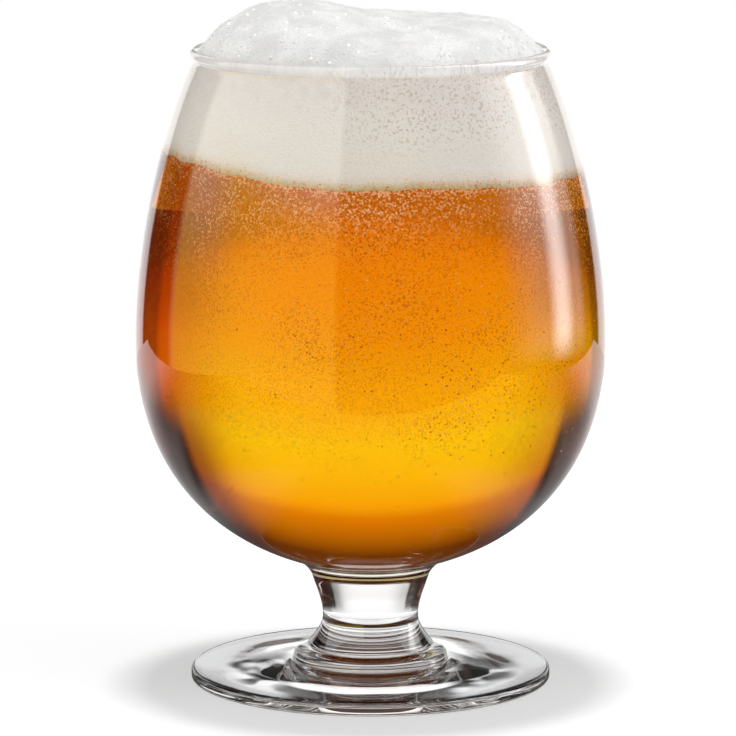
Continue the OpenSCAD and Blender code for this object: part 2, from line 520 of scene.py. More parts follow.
# %% The lathe
def lathe_tree():
    """Turns a line of points about the axis."""
    sizes = {"Steps": "Int", "Finish": "Material", "Wet finish": "Material"}
    tree, given = new_tree("lathe", sizes)
    line = given["Geometry"]
    columns = given["Steps"] + 1.0
    rows = add(tree, "GeometryNodeAttributeDomainSize", {}, {0: line})
    grid = add(tree, "GeometryNodeMeshGrid", {}, {2: rows, 3: columns})
    index = add(tree, "GeometryNodeInputIndex")
    row = (index / columns).maths("FLOOR")
    turn = (index - row * columns) * (-2.0 * math.pi) / given["Steps"]

    def at_row(kind, value):
        settings = {"data_type": kind, "domain": "POINT"}
        values = {"Geometry": line, "Value": value, "Index": row}
        return add(tree, "GeometryNodeSampleIndex", settings, values)

    place = at_row("FLOAT_VECTOR", add(tree, "GeometryNodeInputPosition"))
    radius, _, height = axes(tree, place)
    x, y = radius * turn.maths("COSINE"), radius * turn.maths("SINE")
    spot = add(tree, "ShaderNodeCombineXYZ", {}, {"X": x, "Y": y, "Z": height})
    moved = add(tree, "GeometryNodeSetPosition", {}, {"Geometry": grid, "Position": spot})
    wet = add(tree, "GeometryNodeInputNamedAttribute", {"data_type": "FLOAT"}, {"Name": "wet"})
    marked = add(
        tree,
        "GeometryNodeStoreNamedAttribute",
        {"data_type": "FLOAT", "domain": "POINT"},
        {"Geometry": moved, "Name": "wet", "Value": at_row("FLOAT", wet)},
    )
    closed = add(tree, "GeometryNodeMergeByDistance", {}, {"Geometry": marked, "Distance": 2e-6})
    rounded = add(tree, "GeometryNodeSetShadeSmooth", {"domain": "FACE"}, {"Geometry": closed})
    real = add(tree, "GeometryNodeRealizeInstances", {}, {"Geometry": rounded})
    values = {"Geometry": real, "Material": given["Finish"]}
    dry = add(tree, "GeometryNodeSetMaterial", {}, values)
    settings = {"data_type": "FLOAT", "operation": "GREATER_THAN"}
    is_wet = add(tree, "FunctionNodeCompare", settings, {0: wet, 1: 0.5})
    values = {"Geometry": dry, "Selection": is_wet, "Material": given["Wet finish"]}
    end_tree(tree, add(tree, "GeometryNodeSetMaterial", {}, values))
    return tree


def line_mesh(name, line, wet):
    """A mesh of points and edges along an outline in millimetres, with its wet places."""
    mesh = bpy.data.meshes.new(name + "_line")
    points = [(r * MM, 0.0, h * MM) for r, h in line]
    mesh.from_pydata(points, [(i, i + 1) for i in range(len(points) - 1)], [])
    mark = mesh.attributes.new("wet", "FLOAT", "POINT")
    mark.data.foreach_set("value", [float(w) for w in wet])
    return mesh


LATHE = lathe_tree()
LATHE_STEPS = 160
print(LATHE.name, "tree:", len(LATHE.nodes), "nodes")


def turned(name, line, wet, finish, wet_finish):
    """A piece turned from an outline in millimetres."""
    values = {"Steps": LATHE_STEPS, "Finish": finish, "Wet finish": wet_finish}
    return run_tree(name, line_mesh(name, line, wet), LATHE, values)


# %% [markdown]
# ## Clear glass
# The finish of polished glass is all in how it bends light, so it is a Principled
# shader that lets everything through. The real glass has no colour of its own at this
# thickness. Pressed and blown glass is never quite even, so a very shallow bump with
# long waves lets reflections swim a little. Lamps reach what is inside the glass
# through a Transparent shader, which stands in for the slow light through a lens. Where
# the wall touches the drink, a second finish has the ratio of the two indices.


# %% Glass finish
GLASS_IOR = 1.52
BEER_IOR = 1.34
SWIM_SCALE = 60.0
SWIM_DEPTH = 0.00001
GLASS_SHADE = (0.97, 0.97, 0.97, 1.0)


def clear_finish(name, ior):
    """Polished clear glass, with long shallow waves."""
    material, tree = new_material(name)
    waves = cloud(tree, place_on(tree), SWIM_SCALE)
    glass = principled(
        tree,
        {
            "Base Color": WHITE,
            "Roughness": 0.0,
            "IOR": ior,
            "Transmission Weight": 1.0,
            "Normal": bumped(tree, waves, SWIM_DEPTH),
        },
    )
    through = add(tree, "ShaderNodeBsdfTransparent", {}, {"Color": GLASS_SHADE})
    easy = light_path(tree, "Is Shadow Ray").at_least(light_path(tree, "Is Diffuse Ray"))
    finish_material(material, mix_shaders(tree, easy, glass, through))
    return material


AIR_GLASS = clear_finish("clear_glass", GLASS_IOR)
WET_GLASS = clear_finish("clear_glass_on_beer", GLASS_IOR / BEER_IOR)

# %% [markdown]
# ## One piece of glass
# Bowl, stem and foot are three solids in the CAD model. On the real glass they are
# fused hot, and nothing shows between them. So the parts of the outline are joined to
# one line, and the lathe turns it into one skin. Inside, the places that the drink
# touches are marked as wet, up to a little over its level, where froth clings.

# %% The fused glass
WET_OVER = 3.5
whole_line = joined(
    foot_line(),
    stem_line(),
    outer_line(),
    arc((BEAD_X, BEAD_H), BEAD_R, BEAD_START, 180, steps=18),
    hollow_line()[::-1],
)
inside = np.arange(len(whole_line)) >= len(whole_line) - len(hollow_line())
touched = inside & (whole_line[:, 1] < BEER_H + WET_OVER)
glass = turned("glass", whole_line, touched, AIR_GLASS, WET_GLASS)
measure(glass)

# %% [markdown]
# ## Waves on the foot
# The foot is pressed, and fire polishing leaves its upper side a little wavy, which
# folds the light that comes through it. The waves are a tenth of a millimetre high. A
# rule moves the points of the finished mesh, so that the mesh itself has them. The
# middle, the collar and the brim stay calm.

# %% Waves on the foot
WAVE_DEPTH = 0.12
WAVE_RATE = 0.55
CALM_MIDDLE = (9.0, 17.0)
CALM_BRIM = (24.0, 31.0)
NEAR_SLOPE = 0.2


def wave_foot(mesh):
    """Slow waves on the foot's upper side, as fire polishing leaves them."""
    for point in mesh.vertices:
        x, y, z = (c / MM for c in point.co)
        r = math.hypot(x, y)
        if r < LAND_R or z < EDGE_T - NEAR_SLOPE or z > SEAT_H + NEAR_SLOPE:
            continue
        grip = smooth(r, LAND_R, LAND_R + 3.0) * (1.0 - smooth(r, *CALM_BRIM))
        grip *= smooth(abs(x), *CALM_MIDDLE)
        wave = math.sin((r - LAND_R) * WAVE_RATE + 2.5 * lump(x * 0.07, y * 0.07, 2.0))
        wave += 0.1 * lump(x * 0.4, y * 0.4, 5.0)
        point.co.z += WAVE_DEPTH * wave * grip * MM


wave_foot(glass.data)
measure(glass)

# %% [markdown]
# ## The beer
# A clear lager takes blue and some green out of the light that goes through it. So its
# body neither bends nor mirrors, and a Volume Absorption shader does the colouring. The
# body reaches a tenth of a millimetre into the wall, so that no film of air is left
# between beer and glass, and the wet faces of the glass do the bending.
#
# Bubbles too fine for a mesh stand against the wall as grain. Voronoi cells give single
# dots, a fine noise gives the haze between them, and both thin out downwards. They only
# feed a Mix Shader's factor, so the body stays clear between the dots. Their tones are
# partly painted light: pale dots are froth and painted highlight, dark dots are painted
# shade, and a weak emission gives all of them a painted glow.

# %% Grain in the beer
DOT_SCALE = 2500.0
HAZE_SCALE = 2600.0
PATCH_SCALE = 90.0
FRONT_HALF = (-0.003, -0.012)
LEFT_EDGE = (-0.028, -0.036)
# Dot tones: pale ones are froth and painted highlight, the dark one is painted shade.
PALE_LOW = (0.86, 0.30, 0.03, 1.0)
PALE_HIGH = (0.88, 0.50, 0.28, 1.0)
DARK_DOT_SHADE = (0.42, 0.085, 0.004, 1.0)


def beer_grain(tree):
    """How much froth shows at a place, and its colour, with painted highlight and shade."""
    place = place_on(tree)
    over = mark_on(tree, "over_beer")
    across, depth, _ = axes(tree, place)
    front = depth.between(*FRONT_HALF)
    cells = add(tree, "ShaderNodeTexVoronoi", {}, {"Vector": place, "Scale": DOT_SCALE})
    colour_of_cell = Wire(tree, cells.socket.node.outputs["Color"])
    dice = add(tree, "ShaderNodeSeparateColor", {}, {0: colour_of_cell}).socket.node.outputs
    chance, kind = Wire(tree, dice["Red"]), Wire(tree, dice["Green"])
    patch = cloud(tree, place, PATCH_SCALE, 2.0).between(0.3, 0.7)
    crowd = over.between(-11.0, 0.5) * 0.70 + over.between(-60.0, -8.0) * 0.30
    crowd = crowd * (0.35 + 1.1 * patch) * front
    dots = cells.between(0.50, 0.30) * (crowd - chance).between(-0.03, 0.03)
    fine = cloud(tree, place, HAZE_SCALE, 0.0).between(0.48, 0.60)
    haze = fine * (over.between(-62.0, -20.0) * (0.3 + patch)) * front
    amount = (dots * 0.8).at_least(haze * 0.8)
    amount = amount * (0.50 + 0.24 * over.between(-20.0, -1.0))
    amount = amount.at_least(over.between(-1.5, -0.3) * 0.4)
    pale = mix_colours(tree, over.between(-12.0, -2.0), PALE_LOW, PALE_HIGH)
    # Pale dots are froth and painted highlight, dark dots are painted shade.
    colour = mix_colours(tree, kind.between(0.45, 0.55), DARK_DOT_SHADE, pale)
    return amount * across.less(0.5, *LEFT_EDGE), colour


# %% Beer finish
BEER_COLOUR = (0.986, 0.902, 0.0, 1.0)
BEER_DENSITY = 130.0
LAMP_SHARE = (0.1, 0.1, 0.1, 1.0)
FOAM_SHARE = (0.2, 0.2, 0.2, 1.0)


def beer_finish():
    """Beer that colours light on its way through, with froth dots on its skin that have a painted
    glow.
    """
    material, tree = new_material("amber_beer")
    body = principled(
        tree,
        {"Base Color": WHITE, "Roughness": 0.0, "IOR": 1.0, "Transmission Weight": 1.0},
    )
    amount, colour = beer_grain(tree)
    froth = principled(
        tree,
        {
            "Base Color": colour,
            "Roughness": 0.6,
            "Specular IOR Level": 0.1,
            # A weak emission: a painted glow on the froth dots.
            "Emission Color": colour,
            "Emission Strength": 0.25,
        },
    )
    body = mix_shaders(tree, amount, body, froth)
    to_foam = add(tree, "ShaderNodeBsdfTransparent", {}, {"Color": FOAM_SHARE})
    body = mix_shaders(tree, light_path(tree, "Is Diffuse Ray"), body, to_foam)
    to_lamp = add(tree, "ShaderNodeBsdfTransparent", {}, {"Color": LAMP_SHARE})
    body = mix_shaders(tree, light_path(tree, "Is Shadow Ray"), body, to_lamp)
    values = {"Color": BEER_COLOUR, "Density": BEER_DENSITY}
    finish_material(material, body, add(tree, "ShaderNodeVolumeAbsorption", {}, values))
    return material


AMBER_BEER = beer_finish()

# %% [markdown]
# ## The level of the drink
# Froth clings to the wall, so the line between beer and foam isn't level: it climbs at
# the left and dips at the right. One rule gives that line at any place, and the same
# function moves the beer's top and the foam's foot, so that the two stay together. It
# slides points along the wall's outline, and notes how far over the level they were.

# %% The level of the drink
OVERLAP = 0.12
LEVEL_REACH = 9.0
LEFT_CLIMB = 2.8
RIGHT_DIP = 0.9
WHOLE_DIP = 0.85
wall_line = moved_out(hollow_line(), OVERLAP)


def level_shift(x, y):
    """How far froth lifts or lowers the foot of the foam at a place, in millimetres."""
    left = LEFT_CLIMB * smooth(-x, 8.0, 38.0) - WHOLE_DIP
    right = RIGHT_DIP * smooth(x, 12.0, 30.0)
    return left - right + 0.5 * lump(x * 0.2, y * 0.2, 1.0)


def wall_r(height):
    """The beer's radius at a height."""
    return float(np.interp(height, wall_line[:, 1], wall_line[:, 0]))


def shift_level(mesh):
    """Moves points near the level along the wall, and notes how far over it they were."""
    over = mesh.attributes.new("over_beer", "FLOAT", "POINT")
    for point in mesh.vertices:
        x, y, z = (c / MM for c in point.co)
        over.data[point.index].value = z - BEER_H
        grip = smooth(z, BEER_H - LEVEL_REACH, BEER_H - 0.5)
        grip *= 1.0 - smooth(z, BEER_H + 2.0, BEER_H + LEVEL_REACH)
        new_z = z + level_shift(x, y) * grip
        narrower = wall_r(new_z) / wall_r(z)
        point.co = (x * narrower * MM, y * narrower * MM, new_z * MM)


# %% The beer
TOP_STEPS = 10
in_beer = wall_line[wall_line[:, 1] < BEER_H - 0.3]
top_line = [(wall_r(BEER_H) * (1.0 - i / TOP_STEPS), BEER_H) for i in range(TOP_STEPS + 1)]
beer_line = joined(in_beer, top_line)
beer_line[0, 0] = 0.0
beer = turned("beer_body", beer_line, np.zeros(len(beer_line)), AMBER_BEER, AMBER_BEER)
shift_level(beer.data)
measure(beer)

# %% [markdown]
# ## The foam
# The head is a mass of fine bubbles: through the wall it looks like cream-coloured
# felt, and over the rim it is a lumpy dome that leans to one side. Its height follows a
# rule. A nearly flat top and a round shoulder are blended, a hump sits at the left, and
# noise in three sizes adds the lumps. The mesh is built ring by ring, first up the wall
# and then inwards over the dome, which closes it at both poles.

# %% The foam's top
PLATEAU_H = RIM_H + 6.3
HUMP_X = -14.0
HUMP_H = 2.2
HUMP_R = 11.0
BLEND = 0.6
LUMPS = ((0.16, 3.0, 0.55), (0.5, 7.0, 0.3), (1.3, 9.0, 0.16))


def crown_height(x, y):
    """Height of the foam's top over a place, in millimetres."""
    r = math.hypot(x, y) / RIM_IN_R
    hump = HUMP_H * math.exp(-((x - HUMP_X) ** 2 + 0.4 * y * y) / HUMP_R**2)
    flat = PLATEAU_H - 0.035 * x - 0.004 * y * y + hump
    steep = 2.9 - 0.0125 * x
    shoulder = BEAD_H + (PEAK_H + 1.0 - BEAD_H) * max(0.0, 1.0 - r**steep) ** 0.75
    low = -BLEND * math.log(math.exp(-flat / BLEND) + math.exp(-shoulder / BLEND))
    lumps = sum(lump(x * rate, y * rate, at) * size for rate, at, size in LUMPS)
    return low + lumps * min(1.0, (1.0 - r) * 8.0) + 0.1


print("crown over the axis:", round(crown_height(0.0, 0.0), 2), "mm")

# %% The foam's mesh
FOAM_STEPS = 192
FOAM_RISE = 60
FOAM_PROUD = 0.02
FOAM_FOOT_H = BEER_H - 0.4


def mesh_from_mm(name, points, faces):
    """A mesh whose points are given in millimetres."""
    mesh = bpy.data.meshes.new(name)
    mesh.from_pydata([(x * MM, y * MM, z * MM) for x, y, z in points], [], faces)
    return mesh


def foam_ring(points, r, lowest, domed):
    """Adds a ring of points, or one on the axis, and returns their numbers."""
    start = len(points)
    for i in range(FOAM_STEPS if r > 0 else 1):
        turn = 2 * math.pi * i / FOAM_STEPS
        x, y = r * math.cos(turn), r * math.sin(turn)
        points.append((x, y, max(crown_height(x, y), lowest) if domed else lowest))
    return range(start, len(points))


def foam_mesh():
    """The head: a skirt against the wall, and a lumpy dome over the rim."""
    band = wall_line[(wall_line[:, 1] > FOAM_FOOT_H) & (wall_line[:, 1] < BEAD_H)]
    skirt = joined([(0.0, FOAM_FOOT_H), (band[0, 0] * 0.5, FOAM_FOOT_H)], band)
    points, rings = [], []
    for r, h in skirt:
        rings.append(foam_ring(points, r + FOAM_PROUD if r > 0 else 0.0, h, False))
    for k in range(FOAM_RISE + 1):
        share = math.cos(0.5 * math.pi * k / FOAM_RISE) ** 0.8 if k < FOAM_RISE else 0.0
        lowest = BEAD_H - 0.2 + 0.01 * k
        rings.append(foam_ring(points, (RIM_IN_R + 0.05) * share, lowest, True))
    faces = []
    for low, high in zip(rings, rings[1:]):
        for i in range(FOAM_STEPS):
            j = (i + 1) % FOAM_STEPS
            if len(low) == 1:
                faces.append((low[0], high[j], high[i]))
            elif len(high) == 1:
                faces.append((low[i], low[j], high[0]))
            else:
                faces.append((low[i], low[j], high[j], high[i]))
    mesh = mesh_from_mm("foam_head", points, faces)
    mesh.shade_smooth()
    return mesh


foam = bpy.data.objects.new("foam_head", foam_mesh())
shift_level(foam.data)
bpy.context.scene.collection.objects.link(foam)
measure(foam)

# %% [markdown]
# ## The finish of the foam
# Froth is matt and nearly white. Behind the wall it is cream with brown pores, most of
# all at the right, it turns warm and grainy where it meets the beer, and over the rim
# it is a cooler white. Its lower part behind the wall is painted brighter: painted
# light. One matt shader is enough, and its colour is mixed by height, by place and by
# noise in several sizes. A bump of cells gives the felt its relief.

# %% Foam finish
FOAM_CREAM = (0.91, 0.835, 0.80, 1.0)
FOAM_PALE = (0.96, 0.885, 0.855, 1.0)
# Painted light: the lower foam behind the wall is painted brighter in this band.
FOAM_PAINTED_BRIGHT = (1.0, 0.93, 0.895, 1.0)
FOAM_PORE = (0.62, 0.52, 0.41, 1.0)
FOOT_TONE = (0.86, 0.62, 0.47, 1.0)
FOOT_GRAIN = (0.86, 0.56, 0.38, 1.0)
CROWN_GREY = (0.79, 0.785, 0.78, 1.0)
CROWN_PALE = (0.92, 0.915, 0.91, 1.0)
CROWN_PORE = (0.68, 0.67, 0.66, 1.0)
LOW_BRIGHT_BAND = (0.118, 0.107)
RIM_BAND = (0.117, 0.1205)
SPECKLED_X = (-0.012, 0.006)
SPECKLED_Z = (0.103, 0.109)


def foam_at_wall(tree, place, billows, pores):
    """The colour of the foam behind the wall."""
    across, _, height = axes(tree, place)
    over = mark_on(tree, "over_beer")
    body = mix_colours(tree, billows.between(0.3, 0.7), FOAM_CREAM, FOAM_PALE)
    # Painted light: the foam is painted brighter below this band.
    body = mix_colours(tree, height.between(*LOW_BRIGHT_BAND), body, FOAM_PAINTED_BRIGHT)
    body = mix_colours(tree, over.between(3.5, -0.5) * 0.7, body, FOOT_TONE)
    fine = cloud(tree, place, 1500.0).between(0.45, 0.60)
    body = mix_colours(tree, fine * over.between(1.8, -0.2), body, FOOT_GRAIN)
    speckled = across.between(*SPECKLED_X) * height.between(*SPECKLED_Z)
    return mix_colours(tree, pores.between(0.54, 0.66) * (0.12 + 0.5 * speckled), body, FOAM_PORE)


def foam_finish():
    """Cream froth: fine bubbles in the colour and the bump."""
    material, tree = new_material("froth")
    place = place_on(tree)
    billows = cloud(tree, place, 500.0, 3.0)
    pores = cloud(tree, place, 1900.0)
    drift = cloud(tree, place, 160.0, 2.0)
    cells = add(tree, "ShaderNodeTexVoronoi", {}, {"Vector": place, "Scale": 2600.0})
    crown = mix_colours(tree, drift.between(0.35, 0.65), CROWN_GREY, CROWN_PALE)
    crown = mix_colours(tree, pores.between(0.50, 0.64) * 0.35, crown, CROWN_PORE)
    over_rim = axes(tree, place)[2].between(*RIM_BAND)
    colour = mix_colours(tree, over_rim, foam_at_wall(tree, place, billows, pores), crown)
    relief = bumped(tree, cells * 0.5 + billows * 0.8, 0.0002, 0.45)
    froth = principled(tree, {"Base Color": colour, "Roughness": 0.6, "Normal": relief})
    finish_material(material, froth)
    return material


foam.data.materials.append(foam_finish())

# %% [markdown]
# ## Bubbles
# Under the foam the wall is covered with fine bubbles, so many that they look like
# grain, and they thin out downwards. Placing them by hand is hopeless, so a Geometry
# Nodes tree scatters points over a band of the wall, with a density that the band's own
# "share" attribute sets, and puts a small ball with a random size on each. A ball has
# only twenty faces, because it is two or three pixels wide and there are thousands.


# %% A tree that scatters balls
def scatter_tree():
    """Scatters balls over a surface, as thickly as its share attribute says."""
    sizes = dict.fromkeys(("Density", "Smallest", "Largest"), "Float")
    tree, given = new_tree("scatter", {**sizes, "Seed": "Int", "Finish": "Material"})
    seed = given["Seed"]
    share = add(tree, "GeometryNodeInputNamedAttribute", {"data_type": "FLOAT"}, {"Name": "share"})
    points = add(
        tree,
        "GeometryNodeDistributePointsOnFaces",
        {"distribute_method": "RANDOM"},
        {"Mesh": given["Geometry"], "Density": given["Density"] * share, "Seed": seed},
    )

    def chance(draw_seed):
        values = {2: 0.0, 3: 1.0}
        node = add(tree, "FunctionNodeRandomValue", {"data_type": "FLOAT"}, values).socket.node
        plug(tree, node.inputs["Seed"], draw_seed)
        return Wire(tree, node.outputs[1])

    ball = add(tree, "GeometryNodeMeshIcoSphere", {}, {"Radius": 1.0, "Subdivisions": 1})
    span = given["Largest"] - given["Smallest"]
    size = given["Smallest"] + span * chance(seed + 1.0) ** 3.0
    values = {"Points": points, "Instance": ball, "Scale": size}
    placed = add(tree, "GeometryNodeInstanceOnPoints", {}, values)
    shaded = add(
        tree,
        "GeometryNodeStoreNamedAttribute",
        {"data_type": "FLOAT", "domain": "INSTANCE"},
        {"Geometry": placed, "Name": "shade", "Value": chance(seed + 2.0)},
    )
    real = add(tree, "GeometryNodeRealizeInstances", {}, {"Geometry": shaded})
    rounded = add(tree, "GeometryNodeSetShadeSmooth", {"domain": "FACE"}, {"Geometry": real})
    values = {"Geometry": rounded, "Material": given["Finish"]}
    end_tree(tree, add(tree, "GeometryNodeSetMaterial", {}, values))
    return tree


SCATTER = scatter_tree()
print(SCATTER.name, "tree:", len(SCATTER.nodes), "nodes")

# %% A band to scatter on
BAND_STEPS = 96
BAND_ROWS = 40
BAND_OUT = 0.1


def share_mesh(name, points, faces, share):
    """A mesh that says at each point how thickly balls lie there."""
    mesh = mesh_from_mm(name, points, faces)
    mark = mesh.attributes.new("share", "FLOAT", "POINT")
    mark.data.foreach_set("value", [share(x, y, z) for x, y, z in points])
    return mesh


def band_mesh(low, high, share):
    """A band along the hollow's wall."""
    line = hollow_line()
    heights = np.linspace(low, high, BAND_ROWS)
    radii = np.interp(heights, line[:, 1], line[:, 0]) + BAND_OUT
    turn = 2 * math.pi * np.arange(BAND_STEPS) / BAND_STEPS
    points = [(r * math.cos(t), r * math.sin(t), h) for r, h in zip(radii, heights) for t in turn]
    faces = []
    for row in range(BAND_ROWS - 1):
        a, b = row * BAND_STEPS, (row + 1) * BAND_STEPS
        for i in range(BAND_STEPS):
            j = (i + 1) % BAND_STEPS
            faces.append((a + i, a + j, b + j, b + i))
    return share_mesh("band", points, faces, share)


# %% [markdown]
# ## The finish of the bubbles
# Each bubble is a tiny lens, which shows either the bright backdrop or the dark side of
# the studio. Real lenses so small would be noise in the render, so every ball has one
# plain tone of painted light: pale is a painted reflection of the backdrop, dark is
# painted shade, and a weak emission adds a painted glow. The tree stored a random
# "shade" on each ball, and a sharp step on it makes about half of them pale and half
# of them dark.


# %% Finish of the fine bubbles
def bubble_finish():
    """Bubbles on the wall: painted light on some, and painted shade on the others."""
    material, tree = new_material("fine_bubbles")
    pale = mark_on(tree, "shade").between(0.45, 0.55)
    # Dark balls are painted shade, pale ones a painted reflection of the backdrop.
    colour = mix_colours(tree, pale, (0.50, 0.11, 0.006, 1.0), (0.82, 0.36, 0.08, 1.0))
    skin = principled(
        tree,
        {
            "Base Color": colour,
            "Roughness": 0.5,
            "Specular IOR Level": 0.15,
            # A weak emission: a painted glow on every ball.
            "Emission Color": colour,
            "Emission Strength": 0.28,
        },
    )
    finish_material(material, skin)
    return material


FINE_BUBBLES = bubble_finish()

# %% Where the fine bubbles are
FROTH_FADE = 2.2
FROTH_OVER = 1.6


def near_foam(x, y, z):
    """Thick at the foam, and gone 12 mm under it."""
    under = BEER_H + level_shift(x, y) - z
    return math.exp(-abs(under) / FROTH_FADE) if under > -FROTH_OVER else 0.0


def lower_down(x, y, z):
    """Chains and patches of bubbles between the belly and the foam."""
    patch = lump(x * 0.16 + 5.0, y * 0.16, z * 0.16)
    grain = lump(x * 0.4, y * 0.4, z * 0.4 + 9.0)
    right = math.exp(-(((x - 17.0) / 13.0) ** 2) - ((z - 57.0) / 8.0) ** 2)
    left = 0.3 * math.exp(-(((x + 13.0) / 9.0) ** 2) - ((z - 70.0) / 7.0) ** 2)
    belt = 0.30 * smooth(z, 58.0, 68.0) * (1.0 - smooth(z, 72.0, 90.0)) * smooth(x, -24.0, 0.0)
    amount = (right + left + belt) * max(0.0, 0.65 + 1.4 * patch + 0.9 * grain)
    return amount * smooth(-y, 8.0, 22.0)


def scattered(name, base, density, radii, seed, finish):
    """Balls on a base mesh, between two radii in millimetres."""
    values = {
        "Density": density,
        "Smallest": radii[0] * MM,
        "Largest": radii[1] * MM,
        "Seed": seed,
        "Finish": finish,
    }
    piece = run_tree(name, base, SCATTER, values)
    measure(piece)
    return piece


BUBBLE_BANDS = (
    ("foam_edge_bubbles", (90.0, 103.0), near_foam, 2.6e6, (0.09, 0.2), 4),
    ("wall_bubbles", (38.0, 92.0), lower_down, 2.0e6, (0.10, 0.24), 11),
)
bubble_pieces = []
for name, (low, high), share, density, radii, seed in BUBBLE_BANDS:
    band = band_mesh(low, high, share)
    bubble_pieces.append(scattered(name, band, density, radii, seed, FINE_BUBBLES))

# %% [markdown]
# ## Bubbles on the crown
# On top of the head some bubbles are larger and clean, and a few of them glint. They
# come from the same tree, scattered over a copy of the dome that lies a little lower,
# so that the balls sit partly in the froth. They are pale and shiny, and the tree's
# random shade picks the tenth of them that glints. That glint is a painted highlight:
# a white emission on those balls.

# %% Finish of the crown's bubbles
BLACK = (0.0, 0.0, 0.0, 1.0)


def crown_finish():
    """Larger clean bubbles on the dome: pale and shiny, a tenth with a painted glint."""
    material, tree = new_material("crown_bubbles")
    shade = mark_on(tree, "shade")
    colour = mix_colours(tree, shade, (0.90, 0.90, 0.895, 1.0), (0.99, 0.99, 0.99, 1.0))
    skin = principled(
        tree,
        {
            "Base Color": colour,
            "Roughness": 0.15,
            # Painted glint: a white emission on the tenth of the balls with the highest shade.
            "Emission Color": mix_colours(tree, shade.between(0.90, 0.92), BLACK, WHITE),
            "Emission Strength": 0.3,
        },
    )
    finish_material(material, skin)
    return material


# %% The crown's bubbles
CROWN_SINK = 0.1
CROWN_ROWS = 24


def on_crown(x, y, z):
    """Clusters, mostly on the side of the dome that faces the camera."""
    return max(0.0, smooth(-y, -6.0, 14.0) * (0.5 + 1.2 * lump(x * 0.2, y * 0.2, z * 0.2)))


def crown_mesh():
    """The top of the dome alone, as a grid of rings to scatter on."""
    points, faces = [], []
    for k in range(CROWN_ROWS + 1):
        r = RIM_IN_R * (0.25 + 0.73 * k / CROWN_ROWS)
        for i in range(BAND_STEPS):
            turn = 2 * math.pi * i / BAND_STEPS
            x, y = r * math.cos(turn), r * math.sin(turn)
            points.append((x, y, crown_height(x, y) - CROWN_SINK))
    for k in range(CROWN_ROWS):
        a, b = k * BAND_STEPS, (k + 1) * BAND_STEPS
        for i in range(BAND_STEPS):
            j = (i + 1) % BAND_STEPS
            faces.append((a + i, b + i, b + j, a + j))
    return share_mesh("crown", points, faces, on_crown)


crown_bubbles = scattered(
    "crown_bubbles", crown_mesh(), 1.8e6, (0.12, 0.42), 21, crown_finish()
)
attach(crown_bubbles, BODY)

# %% [markdown]
# ## Pieces on the body
# Nothing on a glass moves, so every piece rides on the one body. The fused skin stands
# in for three CAD solids, and beer and foam stand in for one each. The bubbles are
# extra, and ride on the body too.

# %% Pieces on the body
for bubbles in bubble_pieces:
    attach(bubbles, BODY)
for piece, slot in ((glass, "bowl_glass"), (beer, "beer"), (foam, "foam")):
    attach(piece, BODY)
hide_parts("bowl", "stem", "foot")
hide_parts("beer")
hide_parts("foam")

# %% [markdown]
# ## The studio around the glass
# Polished glass shows little but its surroundings, so the studio makes half of the
# picture. A photographer stands pale and dark cards round the glass. Here the world is
# those cards: its colour depends on a ray's elevation and on its angle around, where 0
# is behind the glass and positive is towards +X. Light Path tells rays apart. The
# camera sees plain white, mirrored rays see the cards, and rays through the glass see
# the backdrop. Real cards as meshes would do too, but then the tones of the three could
# not be set on their own.

# %% Directions in the world
DEGREES = 180.0 / math.pi
world = bpy.data.worlds.new("studio")
bpy.context.scene.world = world
world.use_nodes = True
world.cycles.sampling_method = "NONE"
sky = world.node_tree
sky.nodes.clear()
way_x, way_y, way_z = axes(sky, add(sky, "ShaderNodeTexCoord", out="Generated"))
level = way_z.maths("ARCSINE") * DEGREES
around = way_x.maths("ARCTAN2", way_y) * DEGREES
side = around.maths("ABSOLUTE")
height = (level + 90.0) / 180.0
bounced = light_path(sky, "Glossy Depth").between(0.4, 0.6)

# %% A ramp by elevation
RAMP_TOP = 2.0


def elevation_ramp(view):
    """Colours by elevation in degrees. A ramp ends at 1, so they are over RAMP_TOP."""
    stops = [((e + 90.0) / 180.0, tuple(c / RAMP_TOP for c in rgb)) for e, rgb in view]
    return add(sky, "ShaderNodeValToRGB", {"stops": stops}, {0: height})


# %% [markdown]
# ## What shows through the drink
# A bowl of beer is a lens that turns its backdrop upside down and left for right. Low
# in the drink a ray looks up, and near the edges it looks far to the side. Such a ray
# crosses more faces than one through clear glass, and Transmission Depth counts them.
# The tones below are those of the backdrop before the beer takes its share, as red and
# green by elevation. Then the sides get darker, and redder towards the edges.

# %% Tones through the drink
DRINK_VIEW = (
    (-90, 0.8, 0.8),
    (-30, 0.62, 0.60),
    (-17, 0.55, 0.32),
    (-15, 0.64, 0.36),
    (-14, 0.96, 0.53),
    (-13, 1.08, 0.68),
    (-9, 1.13, 0.86),
    (-7, 1.13, 1.01),
    (-5, 1.19, 1.12),
    (-2, 1.19, 1.20),
    (2, 1.22, 1.47),
    (7, 1.23, 1.30),
    (13, 1.20, 0.94),
    (16, 0.95, 0.52),
    (30, 0.22, 0.09),
    (90, 0.06, 0.06),
)
NO_GREEN = (1.0, 0.0, 0.0, 1.0)
MIRRORED_DRINK = (0.22, 0.09, 0.08, 1.0)


def blue_of(red, green):
    """Blue follows green, and is less where the tone is warm."""
    return green if green > 0.9 * red else green * 0.85


far_side = side.between(66.0, 95.0)
red_left = around.between(16.0, 42.0) * 0.72
red_right = around.between(-18.0, -42.0) * (0.02 + 0.45 * level.between(-8.0, -3.0))
tint = (red_left + red_right) * (1.0 - far_side) + far_side * 0.05
drink = elevation_ramp([(e, (r, g, blue_of(r, g))) for e, r, g in DRINK_VIEW])
drink = times(sky, drink, mix_colours(sky, tint, WHITE, NO_GREEN))
drink = mix_colours(sky, bounced, drink, times(sky, drink, MIRRORED_DRINK))

